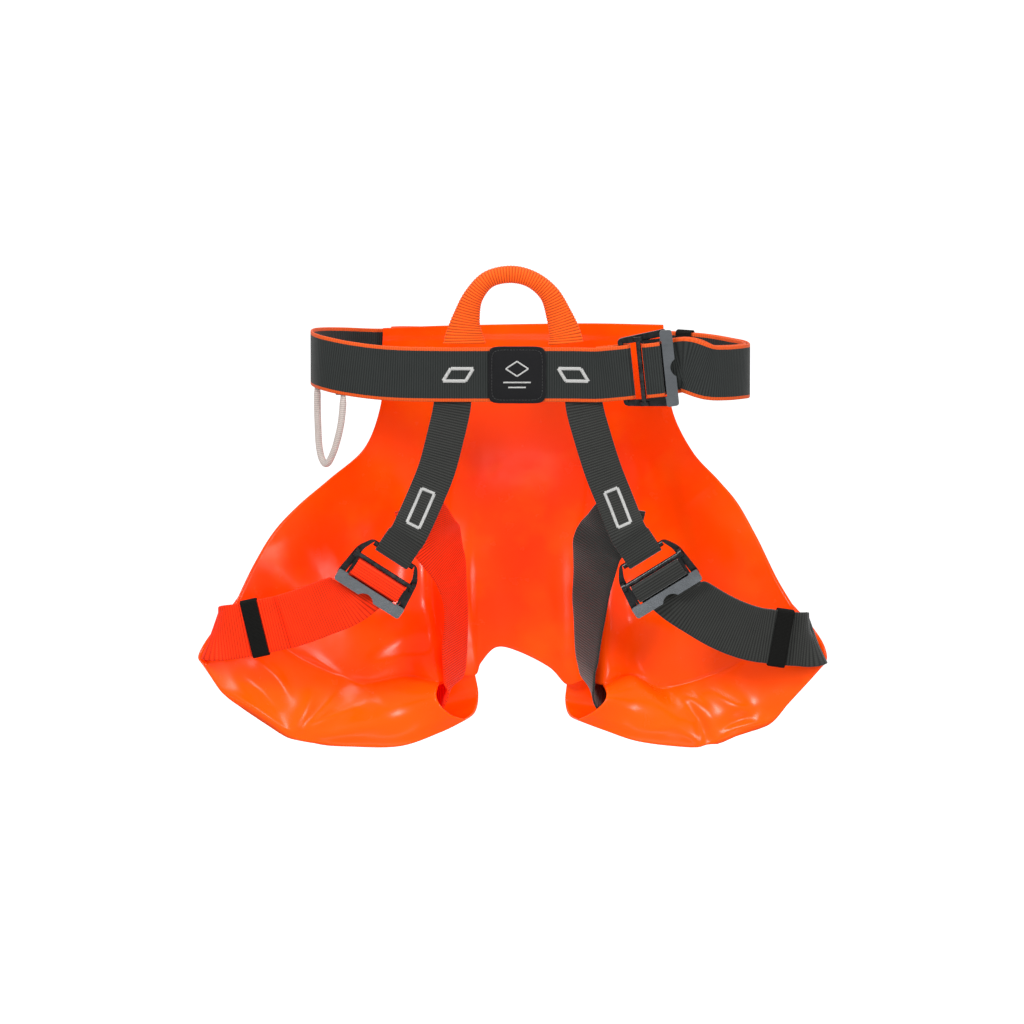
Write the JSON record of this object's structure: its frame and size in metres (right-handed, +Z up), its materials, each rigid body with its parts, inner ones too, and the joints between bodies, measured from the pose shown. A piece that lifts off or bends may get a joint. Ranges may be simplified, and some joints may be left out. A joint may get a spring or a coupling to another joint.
{
  "type": "climbing sit harness with seat sheet",
  "caption": "Sit harness with a waist belt, slide buckles, two adjustable leg loops, an upright tie-in loop and a glossy seat sheet that hangs behind and carries the leg webbing.",
  "frame": {"origin": "middle of the inner top of the tie-in loop, in the plane of the loop", "axes": "+X to the wearer's left, -Y to the front, +Z up"},
  "size_m": [0.5053, 0.1488, 0.3955],
  "materials": {
    "seat_pvc": "glossy",
    "webbing_dark": "woven",
    "webbing_red": "woven",
    "webbing_orange": "woven",
    "frame_black": "glossy",
    "slider_grey": "polished",
    "elastic_black": "matte",
    "label_black": "matte",
    "thread_grey": "satin",
    "cord_greige": "satin"
  },
  "bodies": {
    "root": {"seat_sheet": "seat_pvc", "seat_tunnel_left": "seat_pvc", "seat_tunnel_right": "seat_pvc", "belt_sleeve": "seat_pvc", "waist_belt": "webbing_dark", "waist_tail": "webbing_dark", "waist_buckle_frame": "frame_black", "label_patch": "label_black", "tie_in_tab_left": "webbing_orange", "tie_in_tab_right": "webbing_orange", "gear_loop_tabs": "webbing_dark", "belt_bar_tacks": "thread_grey", "riser_bar_tacks": "thread_grey", "riser_left": "webbing_dark", "riser_right": "webbing_dark", "leg_strap_left": "webbing_red", "leg_strap_right": "webbing_dark", "leg_tail_left": "webbing_red", "leg_tail_right": "webbing_dark"},
    "tie_in": {"tie_in_loop": "webbing_orange"},
    "gear": {"gear_loop": "cord_greige"},
    "waist_slider": {"waist_buckle_slider": "slider_grey", "waist_wrap": "webbing_dark"},
    "left_buckle": {"leg_buckle_frame_left": "frame_black", "buckle_web_left": "webbing_red"},
    "left_slider": {"leg_buckle_slider_left": "slider_grey", "leg_wrap_left": "webbing_red"},
    "right_buckle": {"leg_buckle_frame_right": "frame_black", "buckle_web_right": "webbing_dark"},
    "right_slider": {"leg_buckle_slider_right": "slider_grey", "leg_wrap_right": "webbing_dark"},
    "waist_keeper_body": {"waist_keeper": "elastic_black"},
    "left_keeper": {"leg_keeper_left": "elastic_black"},
    "right_keeper": {"leg_keeper_right": "elastic_black"}
  },
  "joints": [
    {"name": "tie_in_lean", "type": "hinge", "parent": "root", "child": "tie_in", "pos_m": [0.0025, 0, -0.049], "axis": [1, 0, 0], "range_deg": [-60, 50], "stiffness_Nm_per_rad": 0.05},
    {"name": "gear_loop_swing", "type": "hinge", "parent": "root", "child": "gear", "pos_m": [-0.135, 0.006, -0.095], "axis": [-0.5961, 0.7948, 0.1135], "range_deg": [-30, 30]},
    {"name": "waist_slider_tilt", "type": "hinge", "parent": "root", "child": "waist_slider", "pos_m": [0.10301, -0.0108, -0.06921], "axis": [0.1045, 0, -0.9945], "range_deg": [0, 30]},
    {"name": "left_buckle_swing", "type": "hinge", "parent": "root", "child": "left_buckle", "pos_m": [-0.09429, -0.024, -0.21558], "axis": [0.8387, 0, -0.5446], "range_deg": [-8, 8], "stiffness_Nm_per_rad": 0.1},
    {"name": "left_slider_tilt", "type": "hinge", "parent": "left_buckle", "child": "left_slider", "pos_m": [-0.10191, -0.0288, -0.22732], "axis": [-0.8387, 0, 0.5446], "range_deg": [0, 30]},
    {"name": "right_buckle_swing", "type": "hinge", "parent": "root", "child": "right_buckle", "pos_m": [0.10452, -0.024, -0.21543], "axis": [0.848, 0, 0.5299], "range_deg": [-8, 8], "stiffness_Nm_per_rad": 0.1},
    {"name": "right_slider_tilt", "type": "hinge", "parent": "right_buckle", "child": "right_slider", "pos_m": [0.11194, -0.0288, -0.2273], "axis": [-0.848, 0, -0.5299], "range_deg": [0, 30]},
    {"name": "waist_keeper_slide", "type": "slide", "parent": "root", "child": "waist_keeper_body", "axis": [0.8944, -0.4472, 0], "range_m": [-0.005, 0.005]},
    {"name": "left_keeper_slide", "type": "slide", "parent": "root", "child": "left_keeper", "axis": [0.9545, -0.179, 0.2386], "range_m": [-0.004, 0.006]},
    {"name": "right_keeper_slide", "type": "slide", "parent": "root", "child": "right_keeper", "axis": [-0.9632, -0.2064, 0.172], "range_m": [-0.003, 0.006]}
  ]
}
